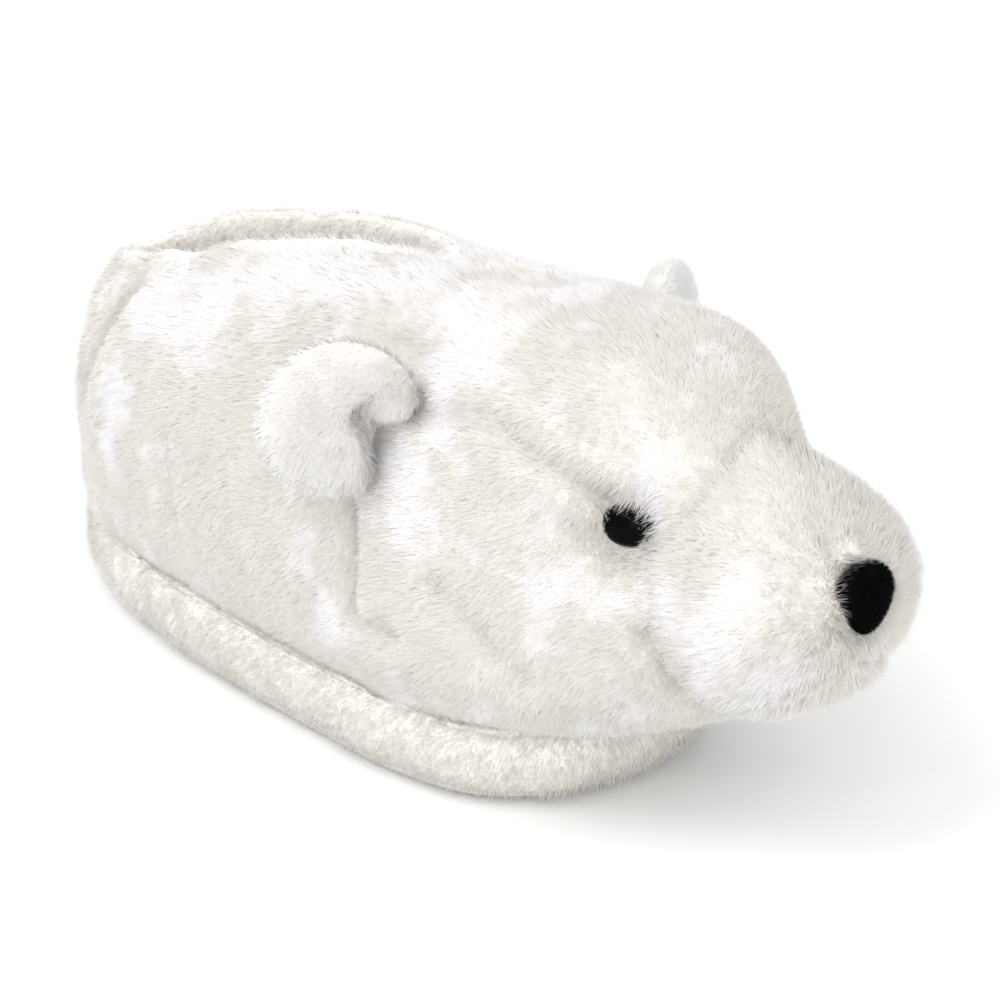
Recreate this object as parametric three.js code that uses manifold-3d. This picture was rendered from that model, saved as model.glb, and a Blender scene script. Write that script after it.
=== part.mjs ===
// Plush animal slipper, right foot: a stuffed polar bear whose back takes the foot.
// Millimetres, +X to the toe, +Y to the inner side of the foot, +Z up.
import * as THREE from 'three';
import Module from 'manifold-3d';

// The foot that the slipper is made for
const lastLength = 262;
const ballWidth = 98;
const instepHeight = 82;
const toeHeight = 46;

// Sole
const soleMargin = 13;
const soleThickness = 27;
const soleEdgeRadius = 8;
const soleEdgeTuck = 5.6;
const soleTopRound = 2;
const toeSpring = 4;
const toeSpringLength = 42;
const outsoleThickness = 3;
const outsoleInset = 9;
const insoleThickness = 5;
const insoleClearance = 1;

// Upper: collar, head and their padding
const collarBackHeight = 123;
const headHeight = 165;
const upperBehindLast = 10;
const headPastToe = 72;
const sidePadding = 20;
const heelCapLength = 48;
const faceCapLength = 120;
const browCapLength = 74;
const collarPadding = 13;
const collarLength = 150;
const collarSlit = 46;
const collarRimRadius = 9;
const collarTaper = 0.45;
const collarOffset = 4;
const collarCutAbove = 30;
const collarThroat = 40;
const collarCutDepth = 75;
const cheekSwell = 4;
const lobeDrop = 2.5;
const lobeStart = 0.8;

// Muzzle, nose, eyes and ears
const muzzleLength = 80;
const muzzleHalfWidth = 45;
const muzzleHeight = 88;
const muzzleChinHeight = 53;
const muzzlePastFace = 28;
const muzzleTipLength = 36;
const noseWidth = 28;
const noseHeight = 25;
const noseThickness = 13;
const noseCentreHeight = 100;
const noseSink = 2.6;
const eyeWidth = 16;
const eyeThickness = 12;
const eyeTurn = 43;
const eyeFromFace = 37;
const eyeProud = 1.2;
const socketDepth = 12;
const socketSpread = 1.2;
const earSize = 54;
const earThickness = 16;
const earTurn = 41;
const earInset = 5;
const earDish = 5;
const earFromFace = 119;
const earSweep = 25;
const earNotch = 0.42;

// Clearance between sewn or glued pieces
const seamGap = 0.3;

// Fullness of rounded ends and bodies: 2 is an ellipse, more is squarer
const heelPlanFullness = 2.2;
const heelSideFullness = 5;
const faceFullness = 2;
const muzzleTipFullness = 2.3;
const noseFullness = 2.6;
const footRoomFullness = 2.6;

// Cheek: place and reach as shares of last length, body half width and head height
const cheek = { along: 0.43, up: 0.28, reachAlong: 0.16, reachAcross: 0.5, reachUp: 0.16 };

// Middle line that rings of the last close in on: its ends as shares of the last, and how much
// of the way to it the foot room closes
const spine = { backShare: 0.2, frontShare: 0.8, closedShare: 0.93 };

const heelX = -lastLength / 2;
const upperBackX = heelX - upperBehindLast;
const faceX = lastLength / 2 + headPastToe;
const upperLength = faceX - upperBackX;
const bodyHalfWidth = ballWidth / 2 + sidePadding;
const soleTop = outsoleThickness + seamGap + soleThickness;
const hemZ = soleTop + seamGap;
const footbedZ = hemZ + insoleThickness;

// Plan of the last: share of its length, share of the ball width (minus is the outer side)
const lastPlan = [
  { along: 0.000, across: -0.05 },
  { along: 0.035, across: -0.21 },
  { along: 0.140, across: -0.41 },
  { along: 0.280, across: -0.52 },
  { along: 0.500, across: -0.57 },
  { along: 0.700, across: -0.575 },
  { along: 0.810, across: -0.555 },
  { along: 0.905, across: -0.475 },
  { along: 0.975, across: -0.27 },
  { along: 1.000, across: 0.07 },
  { along: 0.968, across: 0.35 },
  { along: 0.880, across: 0.455 },
  { along: 0.740, across: 0.47 },
  { along: 0.480, across: 0.40 },
  { along: 0.180, across: 0.36 },
  { along: 0.035, across: 0.18 },
];

// Sections of the upper: share of its length; rise of the top from the collar's back height to
// the head height; widest height over the head height; outer and inner half width over the
// body's; depth below the widest height over the head height; fullness rounds the section
const upperSections = [
  { at: 0.00, rise: 0.00, waist: 0.40, outer: 0.59, inner: 0.60, depth: 0.75, fullness: 3.2 },
  { at: 0.06, rise: 0.12, waist: 0.40, outer: 0.70, inner: 0.66, depth: 0.75, fullness: 3.0 },
  { at: 0.14, rise: 0.36, waist: 0.40, outer: 0.85, inner: 0.75, depth: 0.75, fullness: 2.6 },
  { at: 0.24, rise: 0.60, waist: 0.40, outer: 0.96, inner: 0.82, depth: 0.75, fullness: 2.3 },
  { at: 0.33, rise: 0.79, waist: 0.40, outer: 1.01, inner: 0.85, depth: 0.75, fullness: 2.2 },
  { at: 0.42, rise: 0.90, waist: 0.40, outer: 1.03, inner: 0.88, depth: 0.75, fullness: 2.2 },
  { at: 0.52, rise: 0.90, waist: 0.40, outer: 1.04, inner: 0.92, depth: 0.72, fullness: 2.2 },
  { at: 0.62, rise: 0.95, waist: 0.40, outer: 1.04, inner: 0.97, depth: 0.56, fullness: 2.2 },
  { at: 0.72, rise: 0.99, waist: 0.40, outer: 1.03, inner: 1.01, depth: 0.37, fullness: 2.3 },
  { at: 0.85, rise: 1.02, waist: 0.43, outer: 1.02, inner: 1.02, depth: 0.28, fullness: 2.5 },
  { at: 1.00, rise: 1.00, waist: 0.48, outer: 1.02, inner: 1.02, depth: 0.30, fullness: 2.6 },
];

// Sections of the muzzle, from inside the head to its tip: top and widest height over the
// muzzle height, above the chin; half width over the muzzle's; fullness above and below
const muzzleSections = [
  { at: 0.00, top: 1.00, waist: 0.42, half: 0.76, above: 1.6, below: 2.2 },
  { at: 0.35, top: 1.00, waist: 0.42, half: 0.92, above: 1.6, below: 2.3 },
  { at: 0.65, top: 0.92, waist: 0.45, half: 1.02, above: 1.8, below: 2.3 },
  { at: 1.00, top: 0.76, waist: 0.48, half: 0.98, above: 2.1, below: 2.2 },
];

// Inside of the upper along the last, from heel to toe: height of its ceiling over the footbed
const ceilingRows = [
  { at: 0.00, ceiling: collarBackHeight * 0.60 },
  { at: 0.25, ceiling: instepHeight * 1.15 },
  { at: 0.45, ceiling: instepHeight * 1.12 },
  { at: 0.62, ceiling: instepHeight },
  { at: 0.80, ceiling: (instepHeight + toeHeight) / 2 },
  { at: 1.00, ceiling: toeHeight },
];

const wasm = await Module();
wasm.setup();

// Value of one column of a table at a share, smoothly between its rows
function column(rows, name, share, key = 'at') {
  const s = THREE.MathUtils.clamp(share, rows[0][key], rows[rows.length - 1][key]);
  let i = 0;
  while (i < rows.length - 2 && s > rows[i + 1][key]) i += 1;
  const before = rows[Math.max(i - 1, 0)];
  const a = rows[i];
  const b = rows[i + 1];
  const after = rows[Math.min(i + 2, rows.length - 1)];
  const span = b[key] - a[key];
  const slopeA = (b[name] - before[name]) / (b[key] - before[key]);
  const slopeB = (after[name] - a[name]) / (after[key] - a[key]);
  const t = (s - a[key]) / span;
  const h00 = (1 + 2 * t) * (1 - t) ** 2;
  const h10 = t * (1 - t) ** 2;
  const h01 = t * t * (3 - 2 * t);
  const h11 = t * t * (t - 1);
  return h00 * a[name] + h10 * span * slopeA + h01 * b[name] + h11 * span * slopeB;
}

// Solid through closed rings of points, with a fan over the first and the last ring
function ringSolid(rings) {
  const count = rings[0].length;
  const points = rings.flat();
  const first = points.length;
  for (const ring of [rings[0], rings[rings.length - 1]]) {
    const centre = new THREE.Vector3();
    ring.forEach((p) => centre.addScaledVector(p, 1 / count));
    points.push(centre);
  }
  const faces = [];
  for (let i = 0; i < count; i += 1) {
    const j = (i + 1) % count;
    for (let r = 0; r < rings.length - 1; r += 1) {
      const a = r * count;
      const b = a + count;
      faces.push([a + i, a + j, b + j], [a + i, b + j, b + i]);
    }
    const last = (rings.length - 1) * count;
    faces.push([first, j, i], [first + 1, last + i, last + j]);
  }
  let volume = 0;
  for (const [a, b, c] of faces) {
    volume += points[a].dot(new THREE.Vector3().crossVectors(points[b], points[c]));
  }
  if (volume < 0) faces.forEach((face) => face.reverse());
  return new wasm.Manifold(new wasm.Mesh({
    numProp: 3,
    vertProperties: new Float32Array(points.flatMap((p) => [p.x, p.y, p.z])),
    triVerts: new Uint32Array(faces.flat()),
  }));
}

// Plan of the last, moved outwards by an offset, at a turn from 0 to 1 round it
const planCurve = new THREE.CatmullRomCurve3(lastPlan.map((row) => new THREE.Vector3(
  heelX + row.along * lastLength,
  row.across * ballWidth,
  0,
)), true, 'centripetal');

function planPoint(turn, offset, z) {
  const p = planCurve.getPoint(turn);
  const along = planCurve.getTangent(turn);
  return new THREE.Vector3(p.x + along.y * offset, p.y - along.x * offset, z);
}

// Turns round the plan, evenly spaced
const planSteps = 64;
function turns(count) {
  return Array.from({ length: count }, (_, i) => i / count);
}

// Ends of the spine, and how far out the rings of a flat underside lie between it and the edge
const spineBack = heelX + lastLength * spine.backShare;
const spineFront = heelX + lastLength * spine.frontShare;
const innerShares = [0.3, 0.75];

// Height that the underside gains towards the toe
function springAt(x) {
  const start = lastLength / 2 + soleMargin - toeSpringLength;
  return toeSpring * (Math.max(x - start, 0) / toeSpringLength) ** 2;
}

// Ring of the plan at one offset, drawn in towards the spine by a share, with the toe's lift
function undersideRing(offset, z, share = 1) {
  return turns(planSteps).map((turn) => {
    const p = planPoint(turn, offset, z);
    const spineX = THREE.MathUtils.clamp(p.x, spineBack, spineFront);
    p.x = spineX + (p.x - spineX) * share;
    p.y *= share;
    p.z += springAt(p.x);
    return p;
  });
}

// Slab between two heights with the plan of the last at one offset
function planSlab(offset, low, high, count) {
  return ringSolid([low, high].map((z) => turns(count).map((turn) => planPoint(turn, offset, z))));
}

// Grip sheet under the sole
function outsoleSolid() {
  const offset = soleMargin - outsoleInset;
  const below = innerShares.map((share) => undersideRing(offset, 0, share));
  const above = innerShares.map((share) => undersideRing(offset, outsoleThickness, share));
  const edge = [undersideRing(offset, 0), undersideRing(offset, outsoleThickness)];
  return ringSolid([...below, ...edge, ...above.reverse()]);
}

// Foam sole in its plush cover: side wall with a round lower edge and a soft upper edge
function soleSolid() {
  const bottom = outsoleThickness + seamGap;
  const rings = innerShares.map((share) => undersideRing(soleMargin, bottom, share));
  const edgeSteps = 4;
  for (let i = 0; i <= edgeSteps; i += 1) {
    const a = (i / edgeSteps) * Math.PI / 2;
    const offset = soleMargin - soleEdgeTuck * (1 - Math.sin(a));
    const z = bottom + soleEdgeRadius * (1 - Math.cos(a));
    rings.push(undersideRing(offset, z));
  }
  for (const [inward, z] of [[0, soleTop - soleTopRound], [soleTopRound, soleTop]]) {
    rings.push(turns(planSteps).map((turn) => planPoint(turn, soleMargin - inward, z)));
  }
  return ringSolid(rings);
}

function insoleSolid() {
  return planSlab(-insoleClearance, hemZ, footbedZ, planSteps);
}

// Rounding of a closed end: 0 at the very end, 1 where the end's cap begins
function endRound(distance, capLength, power) {
  const t = THREE.MathUtils.clamp(distance / capLength, 0, 1);
  return (1 - (1 - t) ** power) ** (1 / power);
}

// Soft round swelling of a given size around a place
function swell(x, y, z, place, reach) {
  const dx = (x - place.x) / reach.x;
  const dy = (y - place.y) / reach.y;
  const dz = (z - place.z) / reach.z;
  return Math.exp(-(dx * dx + dy * dy + dz * dz));
}

const eyeX = faceX - eyeFromFace;
const eyeAngle = THREE.MathUtils.degToRad(eyeTurn);
const cheekPlace = new THREE.Vector3(lastLength * cheek.along, bodyHalfWidth, headHeight * cheek.up);
const cheekReach = new THREE.Vector3(
  lastLength * cheek.reachAlong,
  bodyHalfWidth * cheek.reachAcross,
  headHeight * cheek.reachUp,
);
const socketReach = eyeWidth * socketSpread;

// Angle round the slipper between minus and plus half a turn
function angleFromTop(angle) {
  return Math.atan2(Math.sin(angle), Math.cos(angle));
}

// Outer surface of body and head at a place along the slipper and an angle round it, 0 at the
// top and a quarter turn at the outer side, moved outwards by an offset
function upperPoint(x, angle, grow = 0) {
  const share = (x - upperBackX) / upperLength;
  const row = (name) => column(upperSections, name, share);
  const heelPlan = endRound(x - upperBackX, heelCapLength, heelPlanFullness);
  const heelSide = endRound(x - upperBackX, heelCapLength, heelSideFullness);
  const facePlan = endRound(faceX - x, faceCapLength, faceFullness);
  const faceSide = endRound(faceX - x, browCapLength, faceFullness);
  const waist = row('waist') * headHeight;
  const halfWidth = row(Math.sin(angle) > 0 ? 'outer' : 'inner') * bodyHalfWidth;
  const up = collarBackHeight + row('rise') * (headHeight - collarBackHeight) - waist;
  const down = row('depth') * headHeight;
  const w = halfWidth * heelPlan * facePlan;
  const h = (Math.cos(angle) > 0 ? up : down) * heelSide * faceSide;
  const n = row('fullness');
  const s = Math.abs(Math.sin(angle)) / w;
  const c = Math.abs(Math.cos(angle)) / h;
  let radius = (s ** n + c ** n) ** (-1 / n);
  const y0 = -Math.sin(angle) * radius;
  const z0 = waist + Math.cos(angle) * radius;
  radius += cheekSwell * swell(x, Math.abs(y0), z0, cheekPlace, cheekReach);
  const fromEye = Math.hypot(x - eyeX, Math.sin(Math.abs(angleFromTop(angle)) - eyeAngle) * radius);
  radius -= socketDepth * Math.exp(-((fromEye / socketReach) ** 2));
  radius += grow;
  return new THREE.Vector3(x, -Math.sin(angle) * radius, waist + Math.cos(angle) * radius);
}

// Stations along the upper: close together in the rounded heel and face, even between them
function upperStations() {
  const stations = [];
  const heelSteps = 8;
  const bodySteps = 24;
  const faceSteps = 14;
  for (let i = 0; i < heelSteps; i += 1) {
    const a = ((i + 0.35) / heelSteps) * Math.PI / 2;
    stations.push(upperBackX + heelCapLength * (1 - Math.cos(a)));
  }
  const bodyStart = upperBackX + heelCapLength;
  const bodyEnd = faceX - faceCapLength;
  for (let i = 0; i < bodySteps; i += 1) {
    stations.push(bodyStart + (bodyEnd - bodyStart) * (i / bodySteps));
  }
  for (let i = faceSteps; i > 0; i -= 1) {
    const a = ((i - 0.65) / faceSteps) * Math.PI / 2;
    stations.push(faceX - faceCapLength * (1 - Math.cos(a)));
  }
  return stations;
}

function upperShell(grow = 0) {
  const around = 44;
  return ringSolid(upperStations().map((x) => {
    return turns(around).map((turn) => upperPoint(x, turn * 2 * Math.PI, grow));
  }));
}

const outerShell = upperShell();
const grownShell = upperShell(seamGap);

// Top of the body over its middle line
function ridgeHeight(x) {
  return upperPoint(x, 0).z;
}

// Room for the foot: rings of the last's plan that close in over a ceiling
function footRoom() {
  const rings = [];
  const levels = 9;
  const low = outsoleThickness;
  const around = 48;
  rings.push(turns(around).map((turn) => planPoint(turn, 0, low)));
  for (let i = 0; i <= levels; i += 1) {
    const a = (i / levels) * (Math.PI / 2) * spine.closedShare;
    const inward = Math.cos(a) ** (2 / footRoomFullness);
    const rise = Math.sin(a) ** (2 / footRoomFullness);
    rings.push(turns(around).map((turn) => {
      const p = planPoint(turn, 0, 0);
      const spineX = THREE.MathUtils.clamp(p.x, spineBack, spineFront);
      const x = spineX + (p.x - spineX) * inward;
      const y = p.y * inward;
      const share = (x - heelX) / lastLength;
      const ceiling = column(ceilingRows, 'ceiling', share);
      return new THREE.Vector3(x, y, footbedZ + ceiling * rise);
    }));
  }
  return ringSolid(rings);
}

// Depths of the rolled rim's rings over its radius
const rimShares = [0, 2 / 15, 4 / 9, 1, 16 / 9];

// Cut for the collar: a long slit, wider at the heel, that flares into a rolled rim
const collarBackX = upperBackX + collarPadding + collarRimRadius;
function collarCut() {
  const rings = [];
  const around = 36;
  const rimDepths = rimShares.map((share) => share * collarRimRadius);
  const depths = [-collarCutAbove, ...rimDepths, collarThroat, collarCutDepth];
  for (const depth of depths) {
    rings.push(turns(around).map((turn) => {
      const a = turn * 2 * Math.PI;
      const along = (1 - Math.cos(a)) / 2;
      const width = Math.sin(a) * (collarSlit / 2) * (1 - collarTaper * along);
      const x = collarBackX + along * collarLength;
      const flareDepth = THREE.MathUtils.clamp(depth / collarRimRadius, 0, 1);
      const flare = collarRimRadius * (1 - Math.sqrt(1 - (1 - flareDepth) ** 2));
      const wide = depth < 0 ? collarRimRadius : flare;
      const nx = -Math.cos(a);
      const ny = Math.sin(a);
      const px = x + nx * wide;
      const py = width + ny * wide - collarOffset;
      return new THREE.Vector3(px, py, ridgeHeight(x) - depth);
    }));
  }
  return ringSolid(rings);
}

function upperSolid() {
  const below = planSlab(soleMargin + seamGap, -headHeight, hemZ, planSteps);
  const lobeCut = planSlab(soleMargin + headHeight, -headHeight, hemZ - lobeDrop, planSteps);
  const backCut = new THREE.BoxGeometry(lastLength, 4 * ballWidth, 2 * headHeight);
  backCut.translate(lastLength * (lobeStart - 1), 0, hemZ - headHeight);
  let solid = outerShell.subtract(footRoom());
  solid = solid.subtract(collarCut());
  solid = solid.subtract(below);
  solid = solid.subtract(lobeCut);
  return solid.subtract(solidOf(backCut));
}

// Solid of a box or another closed three.js geometry
function solidOf(geometry) {
  const position = geometry.getAttribute('position');
  const keys = new Map();
  const points = [];
  const index = [];
  for (let i = 0; i < position.count; i += 1) {
    const p = [position.getX(i), position.getY(i), position.getZ(i)];
    const key = p.map((v) => v.toFixed(4)).join();
    if (!keys.has(key)) {
      keys.set(key, points.length / 3);
      points.push(...p);
    }
    index.push(keys.get(key));
  }
  const triVerts = Array.from(geometry.index.array, (i) => index[i]);
  return new wasm.Manifold(new wasm.Mesh({
    numProp: 3,
    vertProperties: new Float32Array(points),
    triVerts: new Uint32Array(triVerts),
  }));
}

// Rounded body round a centre: half sizes, an exponent for its fullness and a turn
function roundBody(centre, half, power, rows, around, turn = new THREE.Quaternion()) {
  const rings = [];
  for (let i = 0; i < rows; i += 1) {
    const a = ((i + 0.3) / (rows - 0.4)) * Math.PI;
    rings.push(turns(around).map((share) => {
      const b = share * 2 * Math.PI;
      const d = new THREE.Vector3(Math.sin(a) * Math.cos(b), Math.sin(a) * Math.sin(b), Math.cos(a));
      const size = Math.abs(d.x / half.x) ** power + Math.abs(d.y / half.y) ** power
        + Math.abs(d.z / half.z) ** power;
      return d.multiplyScalar(size ** (-1 / power)).applyQuaternion(turn).add(centre);
    }));
  }
  return ringSolid(rings);
}

// Puffed muzzle: sections from inside the head to a blunt round tip
const muzzleTipX = faceX + muzzlePastFace;
const muzzleBackX = muzzleTipX - muzzleLength;
function muzzleBody(grow = 0) {
  const rings = [];
  const steps = 20;
  const around = 32;
  for (let i = 0; i < steps; i += 1) {
    const a = ((i + 0.3) / steps) * Math.PI / 2;
    const x = muzzleBackX + (muzzleLength + grow) * Math.sin(a);
    const row = (name) => column(muzzleSections, name, (x - muzzleBackX) / muzzleLength);
    const tip = endRound(muzzleTipX + grow - x, muzzleTipLength, muzzleTipFullness);
    const waist = row('waist') * muzzleHeight;
    rings.unshift(turns(around).map((turn) => {
      const angle = turn * 2 * Math.PI;
      const above = Math.cos(angle) > 0;
      const w = row('half') * muzzleHalfWidth * tip;
      const h = (above ? row('top') * muzzleHeight - waist : waist) * tip;
      const n = row(above ? 'above' : 'below');
      const s = Math.abs(Math.sin(angle)) / w;
      const c = Math.abs(Math.cos(angle)) / h;
      const radius = (s ** n + c ** n) ** (-1 / n) + grow;
      const z = muzzleChinHeight + waist + Math.cos(angle) * radius;
      return new THREE.Vector3(x, -Math.sin(angle) * radius, z);
    }));
  }
  return ringSolid(rings);
}

function muzzleSolid() {
  return muzzleBody().subtract(grownShell);
}

// Flock covered nose pad on the front of the muzzle
function noseSolid() {
  const centre = new THREE.Vector3(muzzleTipX - noseSink, 0, noseCentreHeight);
  const half = new THREE.Vector3(noseThickness, noseWidth, noseHeight).multiplyScalar(0.5);
  return roundBody(centre, half, noseFullness, 12, 20).subtract(muzzleBody(seamGap));
}

function eyeSolid(side) {
  const centre = upperPoint(eyeX, -side * eyeAngle, eyeProud);
  const half = new THREE.Vector3(eyeWidth, eyeThickness, eyeWidth).multiplyScalar(0.5);
  return roundBody(centre, half, 2, 10, 16).subtract(grownShell).subtract(muzzleBody(seamGap));
}

// Round padded ear, dished in front and notched where it folds at its seam on the head
function earSolid(side) {
  const angle = -side * THREE.MathUtils.degToRad(earTurn);
  const sweep = THREE.MathUtils.degToRad(earSweep);
  const out = new THREE.Vector3(-Math.sin(sweep), side * Math.cos(sweep), 0);
  const face = new THREE.Vector3(Math.cos(sweep), side * Math.sin(sweep), 0);
  const up = new THREE.Vector3(0, 0, 1);
  const radius = earSize / 2;
  const centre = upperPoint(faceX - earFromFace, angle, -earInset).addScaledVector(out, radius);
  const around = 30;
  const rows = 12;
  const rings = [];
  for (let i = 0; i < rows; i += 1) {
    const a = ((i + 0.4) / (rows - 0.2)) * Math.PI;
    rings.push(turns(around).map((turn) => {
      const b = turn * 2 * Math.PI;
      const notch = earNotch * Math.exp(-(((b - Math.PI) / earNotch) ** 2));
      const reach = radius * (1 - notch) * Math.sin(a) ** 0.85;
      const p = centre.clone();
      p.addScaledVector(out, Math.cos(b) * reach);
      p.addScaledVector(up, Math.sin(b) * reach);
      const dish = earDish * Math.max(Math.cos(a), 0) * Math.exp(-((reach / radius * 2) ** 2));
      return p.addScaledVector(face, Math.cos(a) * earThickness / 2 - dish);
    }));
  }
  return ringSolid(rings).subtract(grownShell);
}

// Meshes and their finish
const plush = { color: 0xe9e8e2, roughness: 0.95, metalness: 0 };
const grip = { color: 0xd8d6cf, roughness: 0.8, metalness: 0 };
const lining = { color: 0xe4e2da, roughness: 0.95, metalness: 0 };
const black = { color: 0x0b0b0d, roughness: 0.18, metalness: 0 };
const noseBlack = { color: 0x0e0e10, roughness: 0.55, metalness: 0 };

const slipper = new THREE.Group();
const pieces = [
  ['outsole', outsoleSolid(), grip],
  ['sole', soleSolid(), plush],
  ['insole', insoleSolid(), lining],
  ['upper', upperSolid(), plush],
  ['muzzle', muzzleSolid(), plush],
  ['ear_outer', earSolid(-1), plush],
  ['ear_inner', earSolid(1), plush],
  ['eye_outer', eyeSolid(-1), black],
  ['eye_inner', eyeSolid(1), black],
  ['nose', noseSolid(), noseBlack],
];

for (const [name, solid, finish] of pieces) {
  const { vertProperties, triVerts } = solid.getMesh();
  const geometry = new THREE.BufferGeometry();
  geometry.setAttribute('position', new THREE.BufferAttribute(vertProperties, 3));
  geometry.setIndex(new THREE.BufferAttribute(triVerts, 1));
  const mesh = new THREE.Mesh(geometry, new THREE.MeshStandardMaterial(finish));
  mesh.name = name;
  slipper.add(mesh);
}

// The origin lies under the middle of the whole slipper
const box = new THREE.Box3().setFromObject(slipper);
const middle = box.getCenter(new THREE.Vector3());
slipper.position.set(-middle.x, -middle.y, -box.min.z);

export default slipper;
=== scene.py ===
import bpy
import numpy as np
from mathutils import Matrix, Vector


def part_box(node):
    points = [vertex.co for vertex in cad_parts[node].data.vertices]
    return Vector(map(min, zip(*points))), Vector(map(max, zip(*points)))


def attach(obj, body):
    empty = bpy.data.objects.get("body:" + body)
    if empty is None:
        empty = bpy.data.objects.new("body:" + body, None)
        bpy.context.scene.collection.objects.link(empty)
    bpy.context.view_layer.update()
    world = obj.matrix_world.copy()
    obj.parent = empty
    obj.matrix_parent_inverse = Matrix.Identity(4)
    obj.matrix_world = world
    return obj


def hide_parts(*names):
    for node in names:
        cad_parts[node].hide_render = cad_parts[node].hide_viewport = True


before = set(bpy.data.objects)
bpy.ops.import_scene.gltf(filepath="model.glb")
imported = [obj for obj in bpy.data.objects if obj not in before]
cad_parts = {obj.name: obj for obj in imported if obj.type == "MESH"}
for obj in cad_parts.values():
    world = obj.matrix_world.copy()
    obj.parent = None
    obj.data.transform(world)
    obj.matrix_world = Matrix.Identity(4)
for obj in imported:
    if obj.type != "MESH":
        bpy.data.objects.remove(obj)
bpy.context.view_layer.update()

mm = 0.001
rng = np.random.default_rng(41)

shoe = dict(lastLength=262, ballWidth=98, instepHeight=82, toeHeight=46,
            soleMargin=13, soleThickness=27, outsoleThickness=3, outsoleInset=9,
            insoleThickness=5, insoleClearance=1, toeSpring=4, toeSpringLength=42,
            collarBackHeight=123, headHeight=165, behindLast=10, headPastToe=72,
            sidePadding=20, heelCap=48, faceCap=120, browCap=74, seamGap=0.3)

# Places that follow from the sizes, in mm from the last's middle and the floor
heelX = -shoe["lastLength"] / 2
backX = heelX - shoe["behindLast"]
faceX = shoe["lastLength"] / 2 + shoe["headPastToe"]
bodyHalf = shoe["ballWidth"] / 2 + shoe["sidePadding"]
soleTop = shoe["outsoleThickness"] + shoe["seamGap"] + shoe["soleThickness"]
hemZ = soleTop + shoe["seamGap"]
footbedZ = hemZ + shoe["insoleThickness"]

lastPlan = [(0.000, -0.05), (0.035, -0.21), (0.140, -0.41), (0.280, -0.52), (0.500, -0.57),
            (0.700, -0.575), (0.810, -0.555), (0.905, -0.475), (0.975, -0.27), (1.000, 0.07),
            (0.968, 0.35), (0.880, 0.455), (0.740, 0.47), (0.480, 0.40), (0.180, 0.36),
            (0.035, 0.18)]  # share of the last's length, share of the ball width

# share of the upper's length: rise, waist, outer, inner, depth, fullness
bodyRows = [(0.00, 0.00, 0.40, 0.59, 0.60, 0.75, 3.2), (0.06, 0.12, 0.40, 0.70, 0.66, 0.75, 3.0),
            (0.14, 0.36, 0.40, 0.85, 0.75, 0.75, 2.6), (0.24, 0.60, 0.40, 0.96, 0.82, 0.75, 2.3),
            (0.33, 0.79, 0.40, 1.01, 0.85, 0.75, 2.2), (0.42, 0.90, 0.40, 1.03, 0.88, 0.75, 2.2),
            (0.52, 0.90, 0.40, 1.04, 0.92, 0.72, 2.2), (0.62, 0.95, 0.40, 1.04, 0.97, 0.56, 2.2),
            (0.72, 0.99, 0.40, 1.03, 1.01, 0.37, 2.3), (0.85, 1.02, 0.43, 1.02, 1.02, 0.28, 2.5),
            (1.00, 1.00, 0.48, 1.02, 1.02, 0.30, 2.6)]

# share of the muzzle's length: top, waist, half width, fullness above and below
muzzleRows = [(0.00, 1.00, 0.42, 0.76, 1.6, 2.2), (0.35, 1.00, 0.42, 0.92, 1.6, 2.3),
              (0.65, 0.92, 0.45, 1.02, 1.8, 2.3), (1.00, 0.76, 0.48, 0.98, 2.1, 2.2)]

# share of the last: ceiling of the foot room over the footbed
ceilingRows = [(0.00, 0.60 * shoe["collarBackHeight"]), (0.25, 1.15 * shoe["instepHeight"]),
               (0.45, 1.12 * shoe["instepHeight"]), (0.62, shoe["instepHeight"]),
               (0.80, (shoe["instepHeight"] + shoe["toeHeight"]) / 2), (1.00, shoe["toeHeight"])]


# A table's column at shares between its rows: a cubic through the rows, whose slope at a row is
# the slope between that row's two neighbours
def tableAt(rows, col, share):
    t = np.array(rows, float)
    s, v = t[:, 0], t[:, col]
    x = np.clip(share, s[0], s[-1])
    i = np.clip(np.searchsorted(s, x, side="right") - 1, 0, len(s) - 2)
    before, after = np.maximum(i - 1, 0), np.minimum(i + 2, len(s) - 1)
    span = s[i + 1] - s[i]
    slopeA = (v[i + 1] - v[before]) / (s[i + 1] - s[before])
    slopeB = (v[after] - v[i]) / (s[after] - s[i])
    f = (x - s[i]) / span
    return ((1 + 2 * f) * (1 - f) ** 2 * v[i] + f * (1 - f) ** 2 * span * slopeA
            + f * f * (3 - 2 * f) * v[i + 1] + f * f * (f - 1) * span * slopeB)


# Closed curve through the last's plan (cubic pieces timed by the square root of the chords), and
# its outward side; turn runs from 0 at the heel by the outer side to the toe and back
def planAt(turn, offset):
    p = np.array(lastPlan, float) * (shoe["lastLength"], shoe["ballWidth"]) + (heelX, 0)
    n = len(p)
    s = np.mod(turn, 1.0) * n
    i = np.minimum(s.astype(int), n - 1)
    w = (s - i)[..., None]
    q = [p[(i + k) % n] for k in (-1, 0, 1, 2)]
    d = [np.sqrt(np.linalg.norm(q[k + 1] - q[k], axis=-1))[..., None] for k in range(3)]
    m1 = ((q[1] - q[0]) / d[0] - (q[2] - q[0]) / (d[0] + d[1]) + (q[2] - q[1]) / d[1]) * d[1]
    m2 = ((q[2] - q[1]) / d[1] - (q[3] - q[1]) / (d[1] + d[2]) + (q[3] - q[2]) / d[2]) * d[1]
    a = 2 * q[1] - 2 * q[2] + m1 + m2
    b = -3 * q[1] + 3 * q[2] - 2 * m1 - m2
    point = ((a * w + b) * w + m1) * w + q[1]
    along = (3 * a * w + 2 * b) * w + m1
    along /= np.linalg.norm(along, axis=-1, keepdims=True)
    side = np.stack([along[..., 1], -along[..., 0]], -1)
    return point + side * np.asarray(offset)[..., None]


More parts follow.
